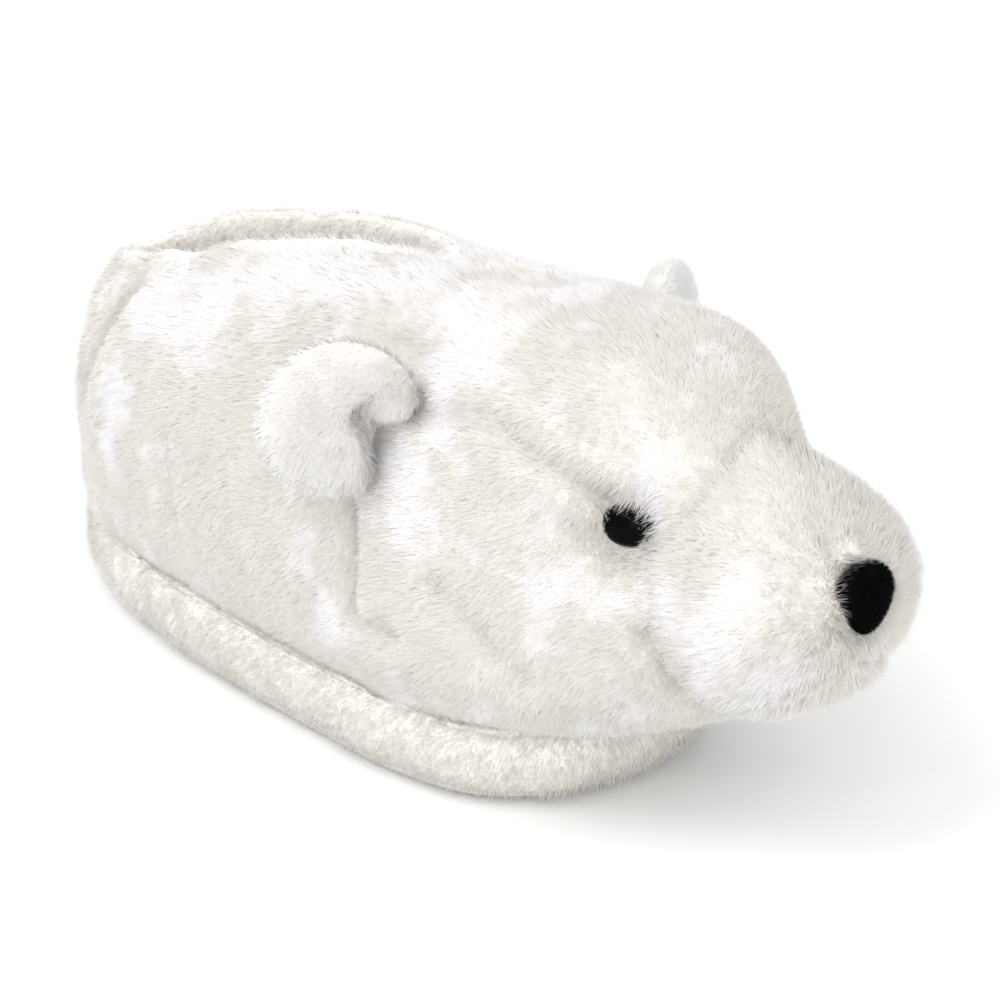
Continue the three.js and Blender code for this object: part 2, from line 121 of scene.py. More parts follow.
# Closed end of a body: 0 at the very end, 1 where its cap begins
def endRound(distance, cap, fullness):
    t = np.clip(distance / cap, 0, 1)
    return (1 - (1 - t) ** fullness) ** (1 / fullness)


# Superellipse radius in a direction: (|sin/w|^n + |cos/h|^n)^(-1/n)
def superRadius(angle, w, h, n):
    return ((np.abs(np.sin(angle)) / w) ** n + (np.abs(np.cos(angle)) / h) ** n) ** (-1 / n)


# Half widths, heights and fullness of the body's section at x
def bodySection(x):
    s = (x - backX) / (faceX - backX)
    heelPlan = endRound(x - backX, shoe["heelCap"], 2.2)
    heelSide = endRound(x - backX, shoe["heelCap"], 5)
    facePlan = endRound(faceX - x, shoe["faceCap"], 2)
    faceSide = endRound(faceX - x, shoe["browCap"], 2)
    waist = tableAt(bodyRows, 2, s) * shoe["headHeight"]
    rise = tableAt(bodyRows, 1, s) * (shoe["headHeight"] - shoe["collarBackHeight"])
    up = (shoe["collarBackHeight"] + rise - waist) * heelSide * faceSide
    down = tableAt(bodyRows, 5, s) * shoe["headHeight"] * heelSide * faceSide
    outer = tableAt(bodyRows, 3, s) * bodyHalf * heelPlan * facePlan
    inner = tableAt(bodyRows, 4, s) * bodyHalf * heelPlan * facePlan
    return waist, up, down, outer, inner, tableAt(bodyRows, 6, s)


# Surface of body and head: the section's superellipse at an angle from the top (a quarter turn is
# the outer side), swollen at the cheeks
def bodyPoint(x, angle):
    waist, up, down, outer, inner, full = bodySection(x)
    w = np.where(np.sin(angle) > 0, outer, inner) + 1e-6
    h = np.where(np.cos(angle) > 0, up, down) + 1e-6
    r = superRadius(angle, w, h, full)
    y, z = -np.sin(angle) * r, waist + np.cos(angle) * r
    cheek = (((x - 0.43 * shoe["lastLength"]) / (0.16 * shoe["lastLength"])) ** 2
             + ((np.abs(y) - bodyHalf) / (0.5 * bodyHalf)) ** 2
             + ((z - 0.28 * shoe["headHeight"]) / (0.16 * shoe["headHeight"])) ** 2)
    r = r + 4 * np.exp(-cheek)
    return np.stack([x + 0 * r, -np.sin(angle) * r, waist + np.cos(angle) * r], -1)


# Height of the body's top over a place in plan: the section's upper half solved for z
def topZ(x, y):
    waist, up, down, outer, inner, full = bodySection(x)
    share = np.clip(np.abs(y) / (np.where(y < 0, outer, inner) + 1e-9), 0, 0.999)
    return waist + up * (1 - share ** full) ** (1 / full)


# How far a place lies out of the body: its distance from the section's middle over the surface's
def bodyShare(p):
    x = np.clip(p[..., 0], backX + 0.5, faceX - 0.5)
    waist = bodySection(x)[0]
    angle = np.arctan2(-p[..., 1], p[..., 2] - waist)
    s = bodyPoint(x, angle)
    far = np.hypot(p[..., 1], p[..., 2] - waist)
    share = far / np.maximum(np.hypot(s[..., 1], s[..., 2] - waist), 1e-6)
    return np.where((p[..., 0] < backX) | (p[..., 0] > faceX), 9.0, share)


muzzle = dict(length=80, half=45, height=88, chin=53, pastFace=28, tip=36)
muzzleTipX = faceX + muzzle["pastFace"]
muzzleBackX = muzzleTipX - muzzle["length"]


# Surface of the muzzle: sections like the body's, closed over a blunt round tip
def muzzlePoint(x, angle):
    s = (x - muzzleBackX) / muzzle["length"]
    tip = endRound(muzzleTipX - x, muzzle["tip"], 2.3)
    waist = tableAt(muzzleRows, 2, s) * muzzle["height"]
    above = np.cos(angle) > 0
    w = tableAt(muzzleRows, 3, s) * muzzle["half"] * tip + 1e-6
    top = tableAt(muzzleRows, 1, s) * muzzle["height"] - waist
    h = np.where(above, top, waist) * tip + 1e-6
    r = superRadius(angle, w, h, np.where(above, tableAt(muzzleRows, 4, s), tableAt(muzzleRows, 5, s)))
    return np.stack([x + 0 * r, -np.sin(angle) * r, muzzle["chin"] + waist + np.cos(angle) * r], -1)


# How far a place lies out of the muzzle, found the same way
def muzzleShare(p):
    x = np.clip(p[..., 0], muzzleBackX + 0.5, muzzleTipX - 0.3)
    s = (x - muzzleBackX) / muzzle["length"]
    middle = muzzle["chin"] + tableAt(muzzleRows, 2, s) * muzzle["height"]
    angle = np.arctan2(-p[..., 1], p[..., 2] - middle)
    q = muzzlePoint(x, angle)
    far = np.hypot(p[..., 1], p[..., 2] - middle)
    share = far / np.maximum(np.hypot(q[..., 1], q[..., 2] - middle), 1e-6)
    return np.where((p[..., 0] < muzzleBackX) | (p[..., 0] > muzzleTipX), 9.0, share)


# Place of the slipper's own frame in the shared frame, from the insole's plan
def findShift():
    low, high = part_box("insole")
    plan = planAt(np.linspace(0, 1, 4001), np.float64(-shoe["insoleClearance"]))
    middle = (np.array(low)[:2] + np.array(high)[:2]) / 2 / mm
    return np.array([*(middle - (plan.min(0) + plan.max(0)) / 2), 0.0])


shift = findShift()
print("shift", shift.round(2))


# Metres of the shared frame from millimetres of the slipper's own: moved by the shift, times 0.001
def place(points):
    return (points + shift) * mm


# Smooth noise from -1 to 1: random values on a lattice of one size, blended between its corners
def cloud(p, size, seed):
    q = np.asarray(p, float) / size + 1000.5
    i = np.floor(q).astype(np.int64)
    f = q - i
    f = f * f * (3 - 2 * f)
    total = 0
    for corner in range(8):
        step = np.array([corner & 1, corner >> 1 & 1, corner >> 2 & 1])
        k = i + step
        h = (k[..., 0] * 73856093 ^ k[..., 1] * 19349663 ^ k[..., 2] * 83492791 ^ seed * 2654435761)
        h = (h ^ (h >> 13)) * 1274126177 & 0xFFFFFF
        w = np.prod(np.where(step, f, 1 - f), -1)
        total = total + w * (h / 0x7FFFFF - 1)
    return total


# Vectors over their own length
def unit(v):
    return v / np.maximum(np.linalg.norm(v, axis=-1, keepdims=True), 1e-9)


# Normals of a grid of points: across its rows and columns, cross product, made unit length
def gridNormals(p, wrap):
    du = np.gradient(p, axis=0)
    if wrap:
        dv = (np.roll(p, -1, 1) - np.roll(p, 1, 1)) / 2
    else:
        dv = np.gradient(p, axis=1)
    return unit(np.cross(du, dv))


# Quads of a grid with rows and columns, closed round its columns where wrap is on
def gridFaces(rows, cols, wrap):
    i, j = np.meshgrid(np.arange(rows - 1), np.arange(cols if wrap else cols - 1), indexing="ij")
    k = (j + 1) % cols
    quads = np.stack([i * cols + j, (i + 1) * cols + j, (i + 1) * cols + k, i * cols + k], -1)
    return quads.reshape(-1, 4)


# Mesh object from points in millimetres of the slipper's frame and faces of three or four corners;
# a corner that repeats the one before it is dropped, so the quads at a pole turn into triangles
def makeMesh(name, points, faces, material):
    mesh = bpy.data.meshes.new(name)
    keep = faces != np.roll(faces, -1, axis=1)
    keep &= keep.sum(1, keepdims=True) > 2
    loops, sizes = faces[keep], keep.sum(1)
    sizes = sizes[sizes > 0]
    mesh.vertices.add(len(points))
    mesh.loops.add(len(loops))
    mesh.polygons.add(len(sizes))
    mesh.vertices.foreach_set("co", place(points).astype(np.float32).ravel())
    mesh.loops.foreach_set("vertex_index", loops.astype(np.int32))
    mesh.polygons.foreach_set("loop_start", (np.cumsum(sizes) - sizes).astype(np.int32))
    mesh.polygons.foreach_set("loop_total", sizes.astype(np.int32))
    mesh.update(calc_edges=True)
    mesh.validate()
    mesh.polygons.foreach_set("use_smooth", np.full(len(mesh.polygons), True))
    piece = bpy.data.objects.new(name, mesh)
    bpy.context.scene.collection.objects.link(piece)
    mesh.materials.append(material)
    return piece


# Skin of a grid: equal points made one, faces turned outwards, and normals added up from the
# faces round each point. Outwards is away from a middle, or the side given by outside.
def makeSkin(p, wrap, middle=None, outside=1):
    points = p.reshape(-1, 3)
    key = np.round(points * 500).astype(np.int64)
    first, index = np.unique(key, axis=0, return_index=True, return_inverse=True)[1:]
    faces = index.ravel()[gridFaces(p.shape[0], p.shape[1], wrap)]
    points = points[first]
    a, b, c, d = (points[faces[:, k]] for k in range(4))
    flat = np.cross(c - a, d - b)
    if middle is not None:
        outside = np.sign((flat * ((a + b + c + d) / 4 - middle)).sum())
    if outside < 0:
        faces, flat = faces[:, ::-1], -flat
    corners = faces.ravel()
    normals = np.stack([np.bincount(corners, np.repeat(flat[:, k], 4), len(points)) for k in range(3)], 1)
    return dict(points=points, normals=unit(normals), faces=faces)


# Distance from points to a path of straight pieces: the least of those to the pieces
def pathDistance(p, path):
    best = np.full(p.shape[:-1], 1e9)
    for k in range(len(path) - 1):
        a, b = np.array(path[k], float), np.array(path[k + 1], float)
        ab = b - a
        t = np.clip(((p - a) @ ab) / (ab @ ab), 0, 1)
        best = np.minimum(best, np.linalg.norm(p - a - t[..., None] * ab, axis=-1))
    return best


# Materials: each has one shader
def nodeMaterial(name):
    material = bpy.data.materials.new(name)
    material.use_nodes = True
    tree = material.node_tree
    tree.nodes.clear()
    out = tree.nodes.new("ShaderNodeOutputMaterial")
    shader = tree.nodes.new("ShaderNodeBsdfPrincipled")
    tree.links.new(shader.outputs[0], out.inputs[0])
    return material, tree, shader


# Noise on the object's own coordinates; scale is in waves per metre
def addNoise(tree, scale, detail=3.0, roughness=0.55):
    coordinates = tree.nodes.new("ShaderNodeTexCoord")
    noise = tree.nodes.new("ShaderNodeTexNoise")
    noise.inputs["Scale"].default_value = scale
    noise.inputs["Detail"].default_value = detail
    noise.inputs["Roughness"].default_value = roughness
    tree.links.new(coordinates.outputs["Object"], noise.inputs["Vector"])
    return noise.outputs["Fac"]


# Colour from a value: stops of a place and a colour, blended between them
def addRamp(tree, value, stops):
    ramp = tree.nodes.new("ShaderNodeValToRGB")
    ramp.color_ramp.elements[0].position = stops[0][0]
    ramp.color_ramp.elements[0].color = (*stops[0][1], 1)
    ramp.color_ramp.elements[1].position = stops[-1][0]
    ramp.color_ramp.elements[1].color = (*stops[-1][1], 1)
    for at, colour in stops[1:-1]:
        ramp.color_ramp.elements.new(at).color = (*colour, 1)
    tree.links.new(value, ramp.inputs["Fac"])
    return ramp.outputs["Color"]


# Relief in the shader's normal from a height
def addBump(tree, shader, height, distance, strength):
    bump = tree.nodes.new("ShaderNodeBump")
    bump.inputs["Distance"].default_value = distance
    bump.inputs["Strength"].default_value = strength
    tree.links.new(height, bump.inputs["Height"])
    tree.links.new(bump.outputs["Normal"], shader.inputs["Normal"])


# Plush colours: root, middle and tip, the root darker as painted shade deep in the pile; warm and cool
# white, the ends of the painted sheen
plushLook = dict(root=(0.87, 0.85, 0.81), middle=(0.97, 0.965, 0.955), tip=(1.0, 1.0, 1.0),
                 warm=(0.795, 0.775, 0.73), cool=(0.955, 0.942, 0.962), roughness=0.65, sheen=0.25,
                 sheenRoughness=0.4, specular=0.3)


# Value kept on the mesh by name
def addAttribute(tree, name):
    node = tree.nodes.new("ShaderNodeAttribute")
    node.attribute_name = name
    return node.outputs["Fac"]


# Product of two colours
def addMultiply(tree, a, b):
    mix = tree.nodes.new("ShaderNodeMix")
    mix.data_type = "RGBA"
    mix.blend_type = "MULTIPLY"
    mix.inputs[0].default_value = 1
    tree.links.new(a, mix.inputs[6])
    tree.links.new(b, mix.inputs[7])
    return mix.outputs[2]


# Pile: each hair darker towards its root as painted shade deep in the pile, times a colour from warm to
# cool white, painted sheen where the pile would lie towards the light, with random tone
def pileMaterial(name, look):
    material, tree, shader = nodeMaterial(name)
    height = addRamp(tree, addAttribute(tree, "pileHeight"),
                     [(0.0, look["root"]), (0.45, look["middle"]), (1.0, look["tip"])])
    tone = addRamp(tree, addAttribute(tree, "pileSheenAndTone"), [(0.0, look["warm"]), (1.0, look["cool"])])
    tree.links.new(addMultiply(tree, height, tone), shader.inputs["Base Color"])
    shader.inputs["Roughness"].default_value = look["roughness"]
    shader.inputs["Sheen Weight"].default_value = look["sheen"]
    shader.inputs["Sheen Roughness"].default_value = look["sheenRoughness"]
    shader.inputs["Specular IOR Level"].default_value = look["specular"]
    return material


# Backing cloth under the pile, as seen between the hairs
def backingMaterial(name, look):
    material, tree, shader = nodeMaterial(name)
    colour = addRamp(tree, addNoise(tree, 900, 4), [(0.3, (0.80, 0.775, 0.72)), (0.7, (0.90, 0.88, 0.84))])
    tree.links.new(colour, shader.inputs["Base Color"])
    addBump(tree, shader, addNoise(tree, 1400, 3), 0.0006, 0.6)
    shader.inputs["Roughness"].default_value = 0.85
    shader.inputs["Sheen Weight"].default_value = look["sheen"]
    shader.inputs["Sheen Roughness"].default_value = 0.5
    return material


plushPile = pileMaterial("plush_pile", plushLook)
earPile = pileMaterial("ear_pile", dict(plushLook, warm=(0.86, 0.845, 0.82), cool=(0.965, 0.955, 0.95)))
# The sole's pile is a darker, warmer copy of the plush: painted shade on the low sole
shadedSolePile = pileMaterial("sole_pile_painted_shade", dict(plushLook, warm=(0.69, 0.67, 0.615), cool=(0.84, 0.825, 0.80)))
plushBacking = backingMaterial("plush_backing", plushLook)


# Random places on a skin; keep thins them out
def scatter(skin, count, keep=None):
    p, f = skin["points"], skin["faces"]
    tri = np.concatenate([f[:, [0, 1, 2]], f[:, [0, 2, 3]]]) if f.shape[1] == 4 else f
    a, b, c = p[tri[:, 0]], p[tri[:, 1]], p[tri[:, 2]]
    area = np.linalg.norm(np.cross(b - a, c - a), axis=1) / 2
    pick = np.searchsorted(np.cumsum(area), rng.random(count) * area.sum())
    pick = np.minimum(pick, len(tri) - 1)
    u, v = rng.random(count), rng.random(count)
    over = u + v > 1
    u, v = np.where(over, 1 - u, u)[:, None], np.where(over, 1 - v, v)[:, None]
    corners = tri[pick]
    weights = (1 - u - v, u, v)
    root = sum(w * p[corners[:, k]] for k, w in enumerate(weights))
    normal = sum(w * skin["normals"][corners[:, k]] for k, w in enumerate(weights))
    normal /= np.maximum(np.linalg.norm(normal, axis=1, keepdims=True), 1e-9)
    if keep is not None:
        stay = rng.random(count) < keep(root, normal)
        root, normal = root[stay], normal[stay]
    return root, normal


# Hairs as long thin triangles, wide at the root. Each leans from the skin's normal towards the
# flow by its tilt; neighbours lean together in clumps. They are shaded mostly by the skin's own
# normal, so that the pile reads as one soft surface.
def growPile(name, root, normal, flow, look, material, body="root"):
    count = len(root)
    length = look["length"] * np.clip(1 + look["lengthSpread"] * rng.normal(size=count), 0.4, 1.7)
    if "lengthAt" in look:
        length = length * look["lengthAt"](root)
    clump = np.stack([cloud(root, look["clump"], s) for s in (11, 12, 13)], 1)
    fine = np.stack([cloud(root, look["clump"] * 0.4, s) for s in (21, 22, 23)], 1)
    lean = unit(flow) + look["clumping"] * (clump + 0.7 * fine)
    lean = lean + look["stray"] * rng.normal(size=(count, 3))
    lean = unit(lean - (lean * normal).sum(1, keepdims=True) * normal)
    wave = cloud(root, look["clump"] * 2, 31)
    tilt = look["tilt"] + look["tiltSpread"] * (wave + 0.6 * rng.normal(size=count))
    if "tiltAt" in look:
        tilt = tilt * look["tiltAt"](root)
    tilt = np.radians(np.clip(tilt, 3, 80))[:, None]
    ahead = np.cos(tilt) * normal + np.sin(tilt) * lean
    tip = root + ahead * length[:, None]
    tip[:, 2] = np.maximum(tip[:, 2], 0.4)
    side = np.cross(ahead, normal) + 0.5 * np.sin(tilt) * rng.normal(size=(count, 3))
    side = unit(side - (side * ahead).sum(1, keepdims=True) * ahead)
    strip = np.cross(side, ahead)
    turned = np.where((strip * normal).sum(1, keepdims=True) < 0, -1, 1)
    side, strip = side * turned, strip * turned
    half = look["width"] * (0.7 + 0.6 * rng.random((count, 1))) / 2
    start = root - 0.3 * normal
    corners = np.stack([start - side * half, start + side * half, tip], 1)
    piece = makeMesh(name, corners.reshape(-1, 3), np.arange(count * 3).reshape(-1, 3), material)
    shade = unit(look["softness"] * normal + (1 - look["softness"]) * unit(strip))
    piece.data.normals_split_custom_set_from_vertices(np.repeat(shade, 3, axis=0).astype(np.float32))
    # Heights along each hair carry the painted shade at its root; the tone carries the painted sheen and
    # random tone
    heights = np.array([0.0, 0.0, 1.0]) + look["toneSpread"] * rng.normal(size=(count, 1))
    tone = look["toneAt"](root) if "toneAt" in look else np.full(count, 0.4)
    tone = np.repeat(tone + 0.15 * rng.normal(size=count), 3)
    for label, values in (("pileHeight", heights), ("pileSheenAndTone", tone)):
        mark = piece.data.attributes.new(label, "FLOAT", "POINT")
        mark.data.foreach_set("value", np.clip(values, 0, 1).astype(np.float32).ravel())
    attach(piece, body)
    return piece


# Body skin
bodyLook = dict(pile=3.6, stationGap=2.3, around=200, hemTuck=4.5, hemReach=9, lobeTuck=6, lobeReach=11,
                lobeRise=[(80, 0), (95, -0.5), (132, -0.5), (143, 1.5), (156, 6.0), (170, 12.0)])
collar = dict(backGap=22, length=150, slit=46, taper=0.70, backY=-9.0, frontY=2.0, margin=9)
collarX0 = backX + collar["backGap"]
eye = dict(x=faceX - 34, turn=47, width=16, proud=-1.4, socket=12, spread=1.15, half=(6.0, 8.8, 7.2),
           fullness=2.1)
heel = dict(length=26, bulge=8.5, bulgeAt=36, bulgeReach=22, lean=5.5, leanFrom=66, leanOver=30)

# soft troughs on the outer side, mirrored on the inner: depth, half width, then their points
creases = [
    dict(depth=3.8, width=4.2, path=[(72, -46, 136), (87, -56, 133), (112, -51, 139), (143, -51, 131),
                                     (161, -46, 124)]),
    dict(depth=4.5, width=4.5, path=[(67, -68, 101), (71, -71, 82), (72, -73, 63)]),
    dict(depth=3.2, width=4.0, path=[(79, -73, 60), (94, -73, 61)]),
    dict(depth=4.0, width=7.0, path=[(63, -43, 146), (74, -44, 146)]),
    dict(depth=6.5, width=4.8, path=[(-50, -21, 149), (-64, -30, 142), (-78, -40, 132), (-89, -52, 113),
                                     (-94, -56, 97), (-97, -57, 84)]),
    dict(depth=4.0, width=4.0, path=[(-84, -27, 138), (-99, -38, 124), (-108, -46, 104), (-111, -48, 92)]),
    dict(depth=3.5, width=4.0, path=[(-104, -20, 132), (-119, -28, 120), (-125, -32, 104)]),
    dict(depth=2.6, width=5.0, path=[(109, -69, 82), (128, -67, 71), (143, -62, 61)]),
    dict(depth=3.0, width=4.0, path=[(179, -42, 82), (186, -35, 65)]),
    dict(depth=2.5, width=5.0, path=[(-35, -66, 88), (-28, -69, 60)]),
    dict(depth=2.0, width=7.0, path=[(40, 0, 163), (63, 1, 163), (90, 2, 166)]),
]


# Body stations: close together in the round heel and face, even between them
def stations(start, end, capA, capB, gap):
    a = start + capA * np.linspace(0, 1, int(capA / gap * 1.3)) ** 3
    b = end - capB * (1 - np.cos(np.linspace(0, 1, int(capB / gap * 1.3)) * np.pi / 2))[::-1]
    middle = np.linspace(start + capA, end - capB, int((end - start - capA - capB) / gap))
    return np.concatenate([a, middle[1:-1], b])


# Outline of the collar slit: a long drop, wide at the heel; turn 0 is its back end. Gives its
# point in plan and the side that faces away from the slit.
def collarOutline(turn):
    a = 2 * np.pi * turn
    along = (1 - np.cos(a)) / 2
    half = np.sin(a) * collar["slit"] / 2 * (1 - collar["taper"] * along)
    y = collar["backY"] + (collar["frontY"] - collar["backY"]) * along - half
    point = np.stack([collarX0 + along * collar["length"], y], -1)
    ahead = np.stack([np.gradient(point[..., 0]), np.gradient(point[..., 1])], -1)
    return point, unit(np.stack([ahead[..., 1], -ahead[..., 0]], -1))


# Sink of the skin at places on it: the eye sockets and each crease as a trough with soft lips
def sinkAt(p):
    q = p * [1, -1, 1]
    sink = np.zeros(p.shape[:-1])
    for at in eyeCentres.values():
        far = np.linalg.norm(p - at["skin"], axis=-1)
        sink = sink + eye["socket"] * np.exp(-(far / (eye["spread"] * eye["width"])) ** 2)
    for crease in creases:
        for side, share in ((p, 1.0), (q, 0.5)):
            far = pathDistance(side, crease["path"]) / crease["width"]
            trough = np.exp(-far ** 2) - 0.25 * np.exp(-((far - 2.2) / 1.1) ** 2)
            sink = sink + share * crease["depth"] * trough
    return sink + 0.9 * cloud(p, 34, 5) + 0.5 * cloud(p, 15, 6)


# Normal of the body's own surface at one place: cross product of two short steps on it
def bodyNormal(x, angle):
    e = 0.5
    a = bodyPoint(np.array([x - e, x + e]), np.array([angle, angle]))
    b = bodyPoint(np.array([x, x]), np.array([angle - 0.01, angle + 0.01]))
    n = unit(np.cross(a[1] - a[0], b[1] - b[0]))
    return n * np.sign(n @ (a[0] - [a[0][0], 0, 70]))


eyeCentres = {}
for eyeName, eyeSide in (("eye_outer", 1), ("eye_inner", -1)):
    eyeAngle = np.radians(eye["turn"]) * eyeSide
    onSkin = bodyPoint(np.array([float(eye["x"])]), np.array([eyeAngle]))[0]
    out = bodyNormal(eye["x"], eyeAngle)
    eyeCentres[eyeName] = dict(skin=onSkin, out=out, centre=onSkin - out * (eye["socket"] - eye["proud"]))


# How far back the heel lies: a bulge low down less a lean at the top, both fading out forwards
def heelShift(p):
    z = p[..., 2]
    low = heel["bulge"] * np.exp(-((z - heel["bulgeAt"]) / heel["bulgeReach"]) ** 2)
    high = heel["lean"] * np.clip((z - heel["leanFrom"]) / heel["leanOver"], 0, 1)
    return np.exp(-((p[..., 0] - backX) / heel["length"]) ** 2) * (low - high)


# Body skin: rows from the collar's hole round the outer side, under the head or along the seam,
# and up the inner side, set inwards by the pile and by the creases
def bodyGridPoints():
    x = stations(backX, faceX, shoe["heelCap"], shoe["faceCap"], bodyLook["stationGap"])
    grid = np.linspace(0, 1, bodyLook["around"])
    centre = collarX0 + collar["length"] / 2
    reach = collar["length"] / 2 + collar["margin"]
    inSlit = np.clip(1 - ((x - centre) / reach) ** 2, 0, 1) ** 0.5
    along = np.clip((x - collarX0) / collar["length"], 0, 1)
    half = inSlit * (collar["slit"] / 2 * (1 - collar["taper"] * along) + collar["margin"])
    middle = collar["backY"] + (collar["frontY"] - collar["backY"]) * along
    waist = bodySection(x)[0]
    hole = inSlit > 0
    outerY, innerY = middle - half, middle + half
    startAngle = np.where(hole, np.arctan2(-outerY, topZ(x, outerY) - waist), 0)
    endAngle = np.where(hole, np.arctan2(innerY, topZ(x, innerY) - waist), 0)
    angle = startAngle[:, None] + (2 * np.pi - startAngle - endAngle)[:, None] * grid[None]
    p = bodyPoint(x[:, None] + 0 * angle, angle)
    n = gridNormals(p, False)
    n = n * np.sign((n * (p - [0, 0, 70])).sum(-1).mean())
    n[0], n[-1] = [-1, 0, 0], [1, 0, 0]
    p[..., 0] -= heelShift(p)
    sink = bodyLook["pile"] + sinkAt(p)
    sink[0], sink[-1] = sink[1].mean(), sink[-2].mean()
    return p - n * sink[..., None]


# The side draws in above the seam, and never hangs lower than the sole's top or the lobe's edge
def fitHem(p):
    lobe = np.clip((p[..., 0] - 85) / 35, 0, 1)
    low = hemZ + np.interp(p[..., 0], *np.transpose(bodyLook["lobeRise"]))
    close = np.exp(-np.clip((p[..., 2] - low) / bodyLook["hemReach"], 0, 9) ** 1.5)
    under = np.exp(-np.clip((p[..., 2] - low) / bodyLook["lobeReach"], 0, 9) ** 1.6)
    tuck = (1 - lobe) * bodyLook["hemTuck"] * close + lobe * bodyLook["lobeTuck"] * under
    y = p[..., 1]
    p[..., 1] = y - np.sign(y) * tuck * np.clip(np.abs(y) / 25, 0, 1)
    p[..., 2] = np.maximum(p[..., 2], low)
    return p


# A finished piece of cloth or stuffing: its mesh, body, slot and the node that it stands for
def addPiece(name, skin, material, node=None):
    piece = makeMesh(name, skin["points"], skin["faces"], material)
    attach(piece, "root")
    if node:
        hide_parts(*node)
    print(name, len(skin["faces"]))
    return piece


body = makeSkin(fitHem(bodyGridPoints()), False, [0, 0, 70])
addPiece("body_skin", body, plushBacking, ["upper"])

# Collar rim and lining: rings round the slit, each a distance out from its outline and a depth
# under the body's top; the last rings widen into the foot room down to the footbed, as shares of
# the last's plan and of the room's ceiling
rimRows = [(15, 3.0), (12.5, 0.4), (10, -1.2), (7.6, -1.8), (5.6, -1.0), (4.2, 1.2), (3.3, 5), (2.9, 12),
           (2.8, 20), (2.8, 28)]
roomRows = [(0.63, 0.87), (0.78, 0.76), (0.90, 0.58), (0.97, 0.36), (1.0, 0.12), (1.0, -0.02)]


# The rings in turn. Those of the room never come further in than the slit's last one.
def collarRings():
    turn = np.linspace(0, 1, 193)[:-1]
    outline, side = collarOutline(np.linspace(0, 1, 193))
    outline, side = outline[:-1], side[:-1]
    back = np.clip(np.cos(2 * np.pi * turn), 0, 1) ** 0.5
    rings = []
    for out, depth in rimRows:
        at = outline + side * out * (0.86 + 0.14 * back)[:, None]
        z = topZ(np.clip(at[:, 0], backX + 2, faceX), at[:, 1])
        rings.append(np.column_stack([at, z - bodyLook["pile"] - depth]))
    planTurn = np.where(turn < 0.5, turn * 2 * 9 / 16, 9 / 16 + (turn - 0.5) * 2 * 7 / 16)
    plan = planAt(planTurn, np.full(turn.shape, 0.4))
    spine = np.clip(plan[:, 0], heelX + 0.2 * shoe["lastLength"], heelX + 0.8 * shoe["lastLength"])
    for inward, rise in roomRows:
        x = spine + (plan[:, 0] - spine) * inward
        ceiling = tableAt(ceilingRows, 1, (x - heelX) / shoe["lastLength"])
        at = np.column_stack([x, plan[:, 1] * inward])
        within = ((at - rings[len(rimRows) - 1][:, :2]) * side).sum(1, keepdims=True)
        at -= side * np.minimum(within, 0)
        rings.append(np.column_stack([at, footbedZ + ceiling * rise]))
    return np.array(rings)


# Rows between the rings, on a cubic through them
def refine(p, times):
    rows = len(p)
    s = np.linspace(0, rows - 1, (rows - 1) * times + 1)
    i = np.minimum(s.astype(int), rows - 2)
    f = (s - i)[:, None, None]
    a, b = p[i], p[i + 1]
    ta = (b - p[np.maximum(i - 1, 0)]) / 2
    tb = (p[np.minimum(i + 2, rows - 1)] - a) / 2
    return ((1 + 2 * f) * (1 - f) ** 2 * a + f * (1 - f) ** 2 * ta
            + f * f * (3 - 2 * f) * b + f * f * (f - 1) * tb)


rimGrid = refine(collarRings(), 3)
rimGrid[:15, :, 2] -= sinkAt(rimGrid[:15]) * np.linspace(1, 0, 15)[:, None] ** 0.5
rimGrid[..., 0] -= heelShift(rimGrid)
rimGrid[..., 2] += 1.4 * cloud(rimGrid, 14, 8)
rimUp = gridNormals(rimGrid[4:12], True)[..., 2].mean()
rim = makeSkin(rimGrid, True, None, np.sign(rimUp))
addPiece("collar_lining", rim, plushBacking, None)

# Sole: a profile carried round the plan, offset out from the last and height
soleRows = [(-40, 3.4), (0, 3.4), (3.8, 4.4), (6.4, 7.0), (8.6, 11.0), (9.8, 16), (9.9, 21), (9.0, 25.5),
            (6.6, 28.8), (3, 30.2), (-6, 30.3)]
soleEnds = [(0.5, 0.055, 3.5), (0.045, 0.07, 4.5)]  # bulges at toe and heel: turn, reach, size


# First and last ring drawn together into one point each
def closeEnds(rings):
    poles = [np.broadcast_to(rings[k].mean(0), rings[k].shape)[None] for k in (0, -1)]
    return np.concatenate([poles[0], rings, poles[1]])


# Rings round the last's plan, each at an offset and a height. The toe spring lifts a low ring in
# full and the sole's top not at all. A ring more than 4 mm inside shrinks to its spine.
def planRings(rows, count, bulges=()):
    turn = np.arange(count) / count
    rings = []
    for out, z in rows:
        ends = sum(size * np.exp(-((turn - at) / reach) ** 2) for at, reach, size in bulges)
        at = planAt(turn, np.full(turn.shape, max(out, -4.0)) + (ends if out > 0 else 0))
        if out < -4:
            spine = np.clip(at[:, 0], heelX + 0.2 * shoe["lastLength"], heelX + 0.8 * shoe["lastLength"])
            at = np.column_stack([spine + (at[:, 0] - spine) * 0.05, at[:, 1] * 0.05])
        start = shoe["lastLength"] / 2 + shoe["soleMargin"] - shoe["toeSpringLength"]
        spring = shoe["toeSpring"] * (np.clip(at[:, 0] - start, 0, None) / shoe["toeSpringLength"]) ** 2
        rings.append(np.column_stack([at, z + spring * (1 - z / soleTop)]))
    return closeEnds(np.array(rings))


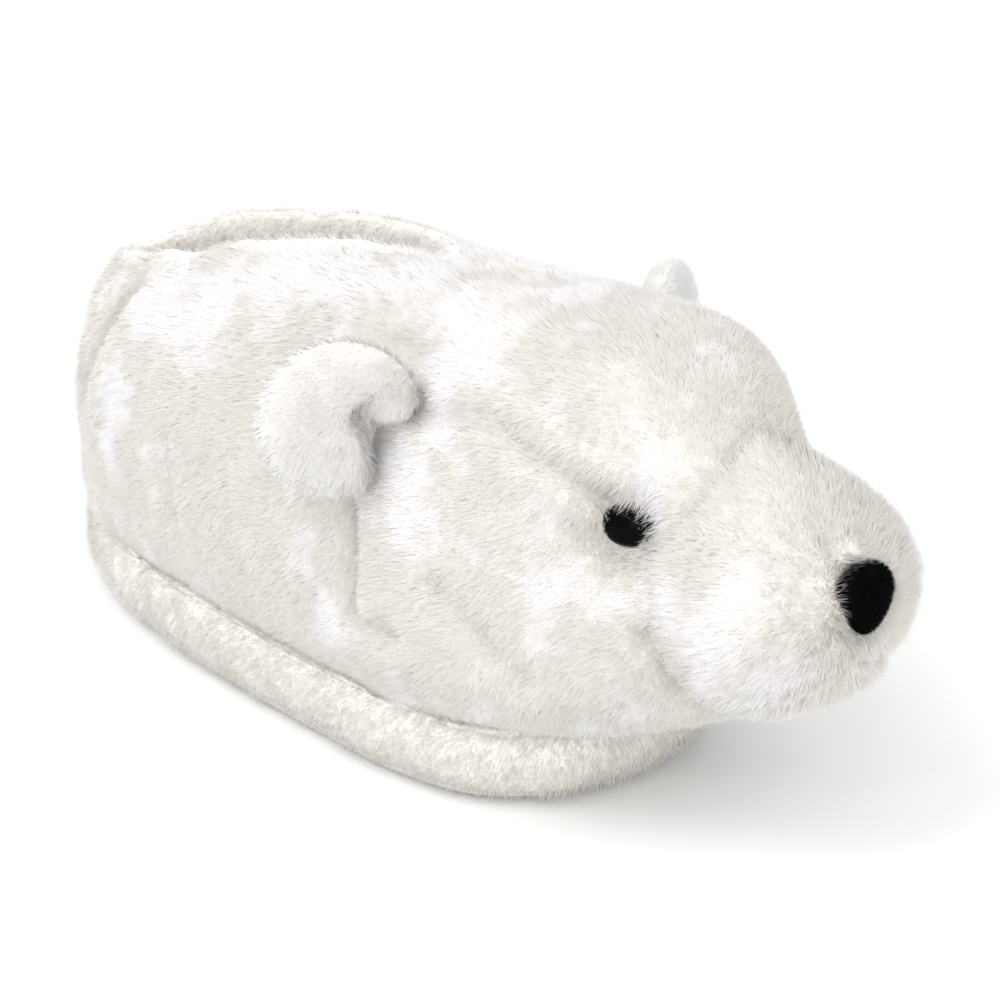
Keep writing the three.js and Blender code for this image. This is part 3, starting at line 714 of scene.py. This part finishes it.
soleGrid = refine(planRings(soleRows, 320, soleEnds), 3)
soleOut = gridNormals(soleGrid, True)
soleOut *= np.sign((soleOut[18, :, :2] * (soleGrid[18, :, :2] - [0, -4])).sum())
soleOut[:4], soleOut[-4:] = 0, 0
soleCreases = [[(-72, -60, 24), (-68, -63, 6)], [(-34, -66, 24), (-31, -69, 8)],
               [(60, -70, 25), (66, -70, 12)]]
for path in soleCreases:
    far = pathDistance(soleGrid, path) / 3.0
    soleGrid -= soleOut * (2.2 * (np.exp(-far ** 2) - 0.3 * np.exp(-((far - 2.2) / 1.1) ** 2)))[..., None]
lumps = 0.9 * cloud(soleGrid * [1, 1, 0.45], 13, 9) + 0.5 * cloud(soleGrid, 6, 10)
soleGrid += soleOut * lumps[..., None]
soleGrid[..., 2] = np.maximum(soleGrid[..., 2], 3.1)
sole = makeSkin(soleGrid, True, [0, 0, 17])
soleSide = makeSkin(soleGrid[8:32], True, [0, 0, 17])
addPiece("sole_skin", sole, plushBacking, ["sole"])

# Muzzle: rings from inside the head to the tip, with the mouth's seam under the nose
muzzleLook = dict(pile=3.4, mouthDepth=2.8, mouthWidth=3.2, tipAhead=2.6, tipDown=1.8)
mouthPath = [(214, -27, 70), (222, -21, 71), (228, -10, 75), (229.5, 0, 77), (228, 10, 75), (222, 21, 71),
             (214, 27, 70)]


# Surface less the pile and the mouth's trough, with the tip drawn ahead and its upper part down
def muzzleGridPoints():
    t = np.linspace(0.08, 1, 72)
    x = muzzleBackX + muzzle["length"] * np.sin(t * np.pi / 2)
    angle = np.linspace(0, 2 * np.pi, 133)[:-1]
    p = muzzlePoint(x[:, None] + 0 * angle, angle[None] + 0 * x[:, None])
    n = gridNormals(p, True)
    n = n * np.sign((n * (p - [muzzleBackX, 0, 97])).sum(-1).mean())
    n[-1] = [1, 0, 0]
    far = pathDistance(p, mouthPath)
    mouth = muzzleLook["mouthDepth"] * np.exp(-(far / muzzleLook["mouthWidth"]) ** 2)
    sink = muzzleLook["pile"] + mouth + 0.8 * cloud(p, 19, 15) + 0.4 * cloud(p, 9, 16)
    sink[-1] = sink[-2].mean()
    p = p - n * sink[..., None]
    ahead = np.clip((p[..., 0] - muzzleBackX) / muzzle["length"], 0, 1) ** 2
    p[..., 0] += muzzleLook["tipAhead"] * ahead
    p[..., 2] -= muzzleLook["tipDown"] * ahead * np.clip((p[..., 2] - 88) / 25, 0, 1)
    return closeEnds(p)


muzzleSkin = makeSkin(muzzleGridPoints(), True, [muzzleBackX, 0, 97])
addPiece("muzzle_skin", muzzleSkin, plushBacking, ["muzzle"])

# Ears: padded discs, hollow in front where they fold at the notch on the head
ear = dict(size=55, thickness=16, dish=7.5, hollow=4.8, notch=0.55, notchAt=3.72, notchWide=0.5,
           inset=10.5, fromFace=118, turn=41, sweep=25, pile=2.6,
           fold=[(-8, 1, 0), (-12, -4, 0), (-15, -20, 0)], curl=4.0, curlAt=2.3)
earShift = {-1: (0, 0, 8.5), 1: (0, -6.5, 1.0)}


# Middle of an ear, the way it stands out and the way it faces; side is -1 outside, 1 inside
def earFrame(side):
    sweep = np.radians(ear["sweep"])
    out = np.array([-np.sin(sweep), side * np.cos(sweep), 0])
    face = np.array([np.cos(sweep), side * np.sin(sweep), 0])
    station = np.array([float(faceX - ear["fromFace"])])
    at = bodyPoint(station, np.array([-side * np.radians(ear["turn"])]))[0]
    waist = bodySection(station)[0][0]
    inward = unit(np.array([0, at[1], at[2] - waist]))
    return at - inward * ear["inset"] + out * ear["size"] / 2 + earShift[side], out, face


# Ear: rows from the middle of its front over the rim to the middle of its back. The disc's radius
# drops at the notch, its front sinks along the fold, and its upper edge curls forwards.
def earSkin(side):
    centre, out, face = earFrame(side)
    a = np.linspace(0, 1, 52)[:, None] * np.pi
    b = np.linspace(0, 2 * np.pi, 89)[None, :-1]
    radius = ear["size"] / 2 - ear["pile"] * 0.8
    notch = ear["notch"] * np.exp(-((b - ear["notchAt"]) / ear["notchWide"]) ** 4)
    reach = radius * (1 - notch) * np.abs(np.sin(a)) ** 0.85
    u, v = np.cos(b) * reach, np.sin(b) * reach
    far = pathDistance(np.stack([u, v, 0 * u], -1), ear["fold"])
    front = np.clip(np.cos(a), 0, 1) ** 0.5
    dish = ear["dish"] * front * np.exp(-(far / ear["hollow"]) ** 2)
    half = ear["thickness"] / 2 - ear["pile"] * 0.5
    curl = ear["curl"] * np.exp(-((b - ear["curlAt"]) / 0.7) ** 2) * (reach / radius) ** 2
    w = np.cos(a) * half - dish + curl + 0.6 * cloud(np.stack([u, v, 0 * u + side], -1), 11, 71)
    grid = centre + u[..., None] * out + v[..., None] * [0, 0, 1] + w[..., None] * face
    return makeSkin(grid, True, centre)


ears = {}
earSides = (("ear_outer", -1), ("ear_inner", 1))
for earName, earSide in earSides:
    ears[earName] = earSkin(earSide)
    addPiece(earName + "_skin", ears[earName], plushBacking, [earName])


# Rounded body: rows from pole to pole, radius |d/half|^power, turned to face along one direction
def roundBody(centre, half, power, out, rows=28, cols=40):
    a = np.linspace(0, 1, rows)[:, None] * np.pi
    b = np.arange(cols)[None] / cols * 2 * np.pi
    d = np.stack([np.cos(a) + 0 * b, np.sin(a) * np.cos(b), np.sin(a) * np.sin(b)], -1)
    d = d * (np.abs(d / half) ** power).sum(-1, keepdims=True) ** (-1 / power)
    up = np.array([0.0, 0, 1])
    side = unit(np.cross(up, out))
    lift = np.cross(out, side)
    return centre + d[..., :1] * out + d[..., 1:2] * side + d[..., 2:] * lift


# Eyes
eyeMaterial, eyeTree, eyeShader = nodeMaterial("eye_gloss")
eyeShader.inputs["Base Color"].default_value = (0.001, 0.001, 0.0013, 1)
eyeShader.inputs["Roughness"].default_value = 0.12
eyeShader.inputs["Specular IOR Level"].default_value = 0.04
addBump(eyeTree, eyeShader, addNoise(eyeTree, 160, 2), 0.0002, 0.05)

for eyeName, at in eyeCentres.items():
    grid = roundBody(at["centre"], np.array(eye["half"]), eye["fullness"], at["out"])
    addPiece(eyeName + "_dome", makeSkin(grid, True, at["centre"]), eyeMaterial, [eyeName])

# Nose: a soft rounded triangle, narrower below
nose = dict(centre=(228.4, -1.2, 100.6), half=(5.6, 11.2, 11.0), narrow=0.42, roll=-10)


# A rounded body drawn in towards its foot, then rolled about the way ahead
def noseGrid():
    out = unit(np.array([1.0, 0, 0.12]))
    p = roundBody(np.array(nose["centre"], float), np.array(nose["half"]) - 0.6, 2.6, out, 40, 60)
    low = np.clip((nose["centre"][2] + 3 - p[..., 2]) / nose["half"][2], 0, 1)
    d = p - nose["centre"]
    y = d[..., 1] * (1 - nose["narrow"] * low ** 1.3)
    c, k = np.cos(np.radians(nose["roll"])), np.sin(np.radians(nose["roll"]))
    return np.stack([d[..., 0], y * c - d[..., 2] * k, d[..., 2] * c + y * k], -1) + nose["centre"]


noseMaterial, noseTree, noseShader = nodeMaterial("nose_velour")
noseColour = addRamp(noseTree, addNoise(noseTree, 700, 3),
                     [(0.35, (0.001, 0.001, 0.0015)), (0.7, (0.004, 0.004, 0.005))])
noseTree.links.new(noseColour, noseShader.inputs["Base Color"])
addBump(noseTree, noseShader, addNoise(noseTree, 1600, 3), 0.0005, 0.7)
noseShader.inputs["Roughness"].default_value = 0.6
noseShader.inputs["Specular IOR Level"].default_value = 0.05
noseSkin = makeSkin(noseGrid(), True, nose["centre"])
addPiece("nose_pad", noseSkin, noseMaterial, ["nose"])

# Insole: fleece footbed, slightly raised round its edge
insoleRows = [(-40, footbedZ - 0.2), (-12, footbedZ - 0.2), (-6, footbedZ + 0.3), (-2.6, footbedZ + 0.2),
              (-1.2, footbedZ - 1.2), (-1.0, hemZ + 1), (-2, hemZ + 0.1), (-40, hemZ + 0.1)]


# Rings at shares of the insole's plan towards its spine
def insoleRings():
    rings = []
    turn = np.arange(160) / 160
    for out, z in insoleRows:
        at = planAt(turn, np.full(turn.shape, -1.0))
        spine = np.clip(at[:, 0], heelX + 0.2 * shoe["lastLength"], heelX + 0.8 * shoe["lastLength"])
        share = max(1 + (out + 1) / 42, 0.03)
        rings.append(np.column_stack([spine + (at[:, 0] - spine) * share, at[:, 1] * share, 0 * turn + z]))
    return closeEnds(np.array(rings))


addPiece("insole_fleece", makeSkin(refine(insoleRings(), 3), True, [0, 0, 33]), plushBacking,
         ["insole"])

# Outsole: cloth sheet with small grip dots
grip = dict(sheet=1.6, dotGap=7.0, dotRadius=1.5, dotHeight=1.3)


# Cloth of the grip sheet: fine noise in its colour and its relief
def gripMaterial():
    material, tree, shader = nodeMaterial("grip_cloth")
    stops = [(0.35, (0.60, 0.59, 0.56)), (0.65, (0.74, 0.73, 0.70))]
    colour = addRamp(tree, addNoise(tree, 1300, 2), stops)
    tree.links.new(colour, shader.inputs["Base Color"])
    addBump(tree, shader, addNoise(tree, 2200, 2), 0.0004, 0.5)
    shader.inputs["Roughness"].default_value = 0.85
    return material


# Sheet with a rounded edge, set in from the sole's
def outsoleSkin():
    low, high = shoe["outsoleThickness"] - grip["sheet"], float(shoe["outsoleThickness"])
    edge = shoe["soleMargin"] - shoe["outsoleInset"]
    rows = [(-40, low), (edge - 2.0, low), (edge - 0.4, low + 0.3), (edge, (low + high) / 2),
            (edge - 0.4, high - 0.3), (edge - 2.0, high), (-40, high)]
    return makeSkin(planRings(rows, 200), True, [0, 0, 2.2])


# Dots on a lattice of equal triangles, where it lies inside the last's plan, each a small dome
def gripDots():
    gap = grip["dotGap"]
    i, j = np.meshgrid(np.arange(-24, 25), np.arange(-12, 13), indexing="ij")
    at = np.stack([(i + 0.5 * (j % 2)) * gap, j * gap * 0.866], -1).reshape(-1, 2)
    ring = planAt(np.linspace(0, 1, 721)[:-1], np.full(720, 0.0))
    nearest = np.linalg.norm(at[:, None] - ring[None], axis=-1)
    k = nearest.argmin(1)
    inner = ring - planAt(np.linspace(0, 1, 721)[:-1], np.full(720, 1.0))
    inside = ((at - ring[k]) * inner[k]).sum(1) > 0
    at = at[inside & (nearest.min(1) > 1.0)]
    a = np.arange(7) / 7 * 2 * np.pi
    dome = [(1.0, 0.0), (0.78, 0.7), (0.02, 1.0)]
    start = shoe["lastLength"] / 2 + shoe["soleMargin"] - shoe["toeSpringLength"]
    lift = shoe["toeSpring"] * (np.clip(at[:, 0] - start, 0, None) / shoe["toeSpringLength"]) ** 2
    top = shoe["outsoleThickness"] - grip["sheet"] + 0.1
    radius, height = grip["dotRadius"], grip["dotHeight"] + 0.1
    rings = np.array([[(r * radius * np.cos(t), r * radius * np.sin(t), top - h * height) for t in a]
                      for r, h in dome])
    centre = np.column_stack([at, lift])
    points = (centre[:, None, None] + rings[None]).reshape(-1, 3)
    faces = gridFaces(len(dome), 7, True)[:, ::-1]
    faces = (np.arange(len(at))[:, None, None] * len(dome) * 7 + faces[None]).reshape(-1, 4)
    return dict(points=points, faces=faces)


gripLook = gripMaterial()
addPiece("outsole_cloth", outsoleSkin(), gripLook, ["outsole"])
addPiece("outsole_dots", gripDots(), gripLook)
print("pieces made")


# Camera, light and floor
view = dict(azimuth=48, elevation=24, distance=1100, target=(60, 4.5, 75), lens=117.2)


# Camera on a sphere round its target, looking at it
def addCamera():
    a, e = np.radians(view["azimuth"]), np.radians(view["elevation"])
    back = np.array([np.sin(a) * np.cos(e), -np.cos(a) * np.cos(e), np.sin(e)])
    target = place(np.array(view["target"], float))
    camera = bpy.data.objects.new("camera", bpy.data.cameras.new("camera"))
    camera.location = target + back * view["distance"] * mm
    camera.rotation_euler = Vector(back).to_track_quat("Z", "Y").to_euler()
    camera.data.lens = view["lens"]
    camera.data.sensor_width = 36
    bpy.context.scene.collection.objects.link(camera)
    bpy.context.scene.camera = camera


# White floor, left out of the model's bounds
def addFloor():
    points = np.array([[-3000, -3000, 0], [3000, -3000, 0], [3000, 3000, 0], [-3000, 3000, 0]], float)
    material, tree, shader = nodeMaterial("floor")
    shader.inputs["Base Color"].default_value = (0.88, 0.88, 0.88, 1)
    shader.inputs["Roughness"].default_value = 0.9
    floor = makeMesh("floor", points, np.array([[0, 1, 2, 3]]), material)


# Square area light that looks at the origin: metres and watts
def addLight(name, location, size, power):
    light = bpy.data.lights.new(name, "AREA")
    light.size = size
    light.energy = power
    lamp = bpy.data.objects.new(name, light)
    lamp.location = location
    lamp.rotation_euler = Vector(location).to_track_quat("Z", "Y").to_euler()
    bpy.context.scene.collection.objects.link(lamp)


addCamera()
addFloor()
addLight("key", (-0.1, -1.3, 1.9), 1.2, 19)
addLight("fill", (1.5, -1.2, 0.9), 1.6, 16)
addLight("glint", (0.55, -1.1, 1.0), 0.06, 1.0)
world = bpy.data.worlds.new("studio")
world.use_nodes = True
world.node_tree.nodes["Background"].inputs["Color"].default_value = (1, 1, 1, 1)
world.node_tree.nodes["Background"].inputs["Strength"].default_value = 1.03
bpy.context.scene.world = world
bpy.context.scene.view_settings.view_transform = "Standard"

# Places of painted sheen, where the pile is painted whiter as if it lay towards the light, and painted
# highlight along the lobe's lower edge: place, reach, strength
paintedSheenPlaces = [((-1, -35, 151), 22, 1.0), ((22, -28, 155), 20, 1.0), ((46, -14, 160), 24, 1.1),
           ((80, -13, 162), 20, 1.0), ((92, -37, 153), 18, 0.9), ((104, 4, 164), 18, 0.8),
           ((-60, -42, 128), 16, 1.0), ((-30, -50, 134), 16, 0.9), ((-42, -53, 126), 15, 1.0),
           ((150, -58, 88), 12, 0.7), ((166, -50, 92), 10, 0.8),
           ((-66, -63, 92), 14, 1.0), ((-73, -63, 71), 12, 0.8),
           ((47, -72, 72), 14, 0.75), ((60, -72, 55), 13, 0.8), ((93, -63, 116), 15, 1.0),
           ((94, -68, 101), 13, 0.9), ((100, -57, 130), 14, 0.8), ((160, 13, 156), 9, 0.9),
           ((169, -40, 128), 12, 1.0), ((144, -55, 120), 12, 0.6), ((186, -43, 90), 13, 1.0),
           ((204, -45, 86), 15, 1.1), ((214, -37, 104), 10, 0.7), ((221, -29, 76), 13, 0.8),
           ((204, 18, 128), 9, 0.6), ((142, -61, 47), 8, 0.9), ((175, -41, 52), 8, 0.9),
           ((110, -71, 42), 8, 0.7), ((98, -69, 36), 8, 0.8),
           ((122, -64, 34), 9, 1.0), ((140, -55, 35), 9, 1.0),
           ((158, -46, 42), 8, 0.8), ((-80, -62, 18), 16, 1.0), ((30, -70, 20), 10, 0.6),
           ((80, -100, 118), 22, 1.0)]


# Tone of the pile from 0, warm, to 1, cool white: the places of painted sheen, ragged at their edges
def paintedSheenTone(root):
    q = root * np.where(root[:, 1:2] > 10, [1, -1, 1], [1, 1, 1])
    total = np.zeros(len(root))
    for at, reach, strength in paintedSheenPlaces:
        total = np.maximum(total, strength * np.exp(-((q - at) ** 2).sum(1) / reach ** 2))
    ragged = 0.42 * cloud(root * [1, 1, 0.6], 11, 81)
    ragged = ragged + 0.30 * cloud(root, 4.5, 82) + 0.26 * cloud(root, 1.8, 83)
    return np.clip((total + ragged - 0.14) / 0.55, 0, 1)


# Pile on the body, longer over the eyes' upper edge, none inside the muzzle or under the seam
bodyPile = dict(length=4.1, lengthSpread=0.2, clump=2.8, clumping=0.34, stray=0.2, tilt=52,
                tiltSpread=9, width=0.23, softness=0.94, toneSpread=0.08, toneAt=paintedSheenTone)


# Distance to the nearer eye's middle
def eyeDistance(p):
    return np.minimum(*[np.linalg.norm(p - at["centre"], axis=-1) for at in eyeCentres.values()])


# One where a hair may grow: outside the muzzle and the eyes, above the hem, not under the foot
def bodyKeep(root, normal):
    free = (muzzleShare(root) > 0.89) & (root[:, 2] > hemZ - 6) & (eyeDistance(root) > 7.4)
    out = np.hypot(np.clip(root[:, 0] - 100, 0, None), root[:, 1])
    hidden = (normal[:, 2] < -0.9) & (root[:, 2] < hemZ + 14) & (out < 44)
    return (free & ~hidden).astype(float)


# Way the pile lies: back and down, turned by noise, and away from the eyes close to them
def bodyFlow(root):
    flow = np.stack([-1 + 0 * root[:, 0], 0 * root[:, 0], -0.75 + 0 * root[:, 0]], 1)
    flow = flow + 0.7 * np.stack([cloud(root, 38, s) for s in (51, 52, 53)], 1)
    for at in eyeCentres.values():
        away = root - at["centre"]
        near = np.exp(-(np.linalg.norm(away, axis=1) / 13) ** 2)[:, None]
        flow = flow * (1 - near) + near * (0.5 * unit(away) + [0, 0, -1.0])
    return flow


# Share of the tilt: hairs stand up close to the eyes
def eyeTilt(root):
    return 0.35 + 0.65 * np.clip((eyeDistance(root) - 8) / 10, 0, 1)


# Share of the length: longest 8 mm from an eye's middle, at its edge
def eyeLength(root):
    return 1 + 0.45 * np.exp(-((eyeDistance(root) - 8) / 4) ** 2)


bodyPile["tiltAt"] = eyeTilt
bodyPile["lengthAt"] = eyeLength


# Pile on a skin, in as many pieces as parts says
def coat(name, skin, count, look, flowOf, keep=None, parts=1, material=plushPile):
    root, normal = scatter(skin, count, keep)
    for k in range(parts):
        chosen = slice(k, None, parts)
        label = name if parts == 1 else name + "_" + str(k + 1)
        growPile(label, root[chosen], normal[chosen], flowOf(root[chosen]), look, material)
    print(name, "hairs", len(root))


coat("pile_body", body, 730000, bodyPile, bodyFlow, bodyKeep, parts=3)

muzzleFur = dict(bodyPile, length=4.5, clump=3.0, tilt=48)
muzzleFur.pop("tiltAt")
muzzleFur.pop("lengthAt")


# One outside the body, with a lower limit near the eyes, and off the nose
def muzzleKeep(root, normal):
    toNose = (root - nose["centre"]) / (np.array(nose["half"]) * [1.6, 1.0, 1.0])
    level = 0.92 - 0.3 * np.exp(-(eyeDistance(root) / 24) ** 2)
    return ((bodyShare(root) > level) & (np.linalg.norm(toNose, axis=1) > 0.88)).astype(float)


# Away from the nose and back, and down over the nose's upper edge
def muzzleFlow(root):
    away = (root - nose["centre"]) * [0.3, 1, 1]
    flow = unit(away) + [-0.9, 0, -0.1] + 0.5 * np.stack([cloud(root, 20, s) for s in (61, 62, 63)], 1)
    over = np.exp(-((root - nose["centre"] - [0, 0, nose["half"][2]]) ** 2).sum(1) / 9 ** 2)[:, None]
    return flow * (1 - over) + over * [0.3, 0, -2.0]


# One close round the nose, falling to none 8 mm out from it; there the hairs stand up past its edge
def noseNear(root):
    far = np.linalg.norm((root - nose["centre"]) / (np.array(nose["half"]) * [1.6, 1, 1]), axis=1)
    return np.exp(-(np.clip(far - 0.95, 0, None) / 0.35) ** 2)


# Share of the length: up to 1.4 close to the nose
def noseLength(root):
    return 1 + 0.4 * noseNear(root)


# Share of the tilt: down to a quarter there
def noseTilt(root):
    return 1 - 0.75 * noseNear(root)


noseEdgeFur = dict(muzzleFur, lengthAt=noseLength, tiltAt=noseTilt)
coat("pile_muzzle", muzzleSkin, 95000, noseEdgeFur, muzzleFlow, muzzleKeep)

earFur = dict(muzzleFur, length=3.6, clump=2.6, tilt=50, stray=0.25,
              toneAt=lambda root: 0.7 + 0.3 * cloud(root, 6, 84))
for earName, earSide in earSides:
    earMiddle, earOut, earFace = earFrame(earSide)
    coat("pile_" + earName, ears[earName], 32000, earFur,
         lambda root: 0.5 * unit(root - earMiddle) + 0.8 * earOut + [0, 0, -0.5],
         material=earPile)

# Less painted sheen on the sole, so that it reads as shaded
soleFur = dict(muzzleFur, length=4.0, clump=2.6, tilt=54,
               toneAt=lambda root: 0.15 + 0.5 * paintedSheenTone(root))
coat("pile_sole", soleSide, 62000, soleFur, lambda root: np.tile([-0.6, 0, -1.0], (len(root), 1)),
     lambda root, normal: (root[:, 2] > 4.5).astype(float), material=shadedSolePile)


# The collar's rim has the body's pile, its lining a short fleece
def rimKeep(root, normal):
    return (topZ(np.clip(root[:, 0], backX + 2, faceX), root[:, 1]) - root[:, 2] < 34).astype(float)


rimFur = dict(muzzleFur, length=3.8, tilt=52)
coat("pile_collar", rim, 110000, rimFur, lambda root: np.tile([-0.6, -0.2, -0.6], (len(root), 1)),
     rimKeep)

noseFur = dict(muzzleFur, length=1.5, lengthSpread=0.15, clump=1.6, tilt=40, width=0.2, toneSpread=0.2)
noseLook = dict(plushLook, root=(0.2, 0.2, 0.2), middle=(0.5, 0.5, 0.5), warm=(0.0015, 0.0015, 0.002),
                cool=(0.005, 0.005, 0.006), sheen=0.0, specular=0.05)
coat("pile_nose", noseSkin, 16000, noseFur, lambda root: np.tile([-0.3, 0, -1.0], (len(root), 1)),
     lambda root, normal: (root[:, 0] > 226).astype(float),
     material=pileMaterial("nose_pile", noseLook))
print("pile grown")
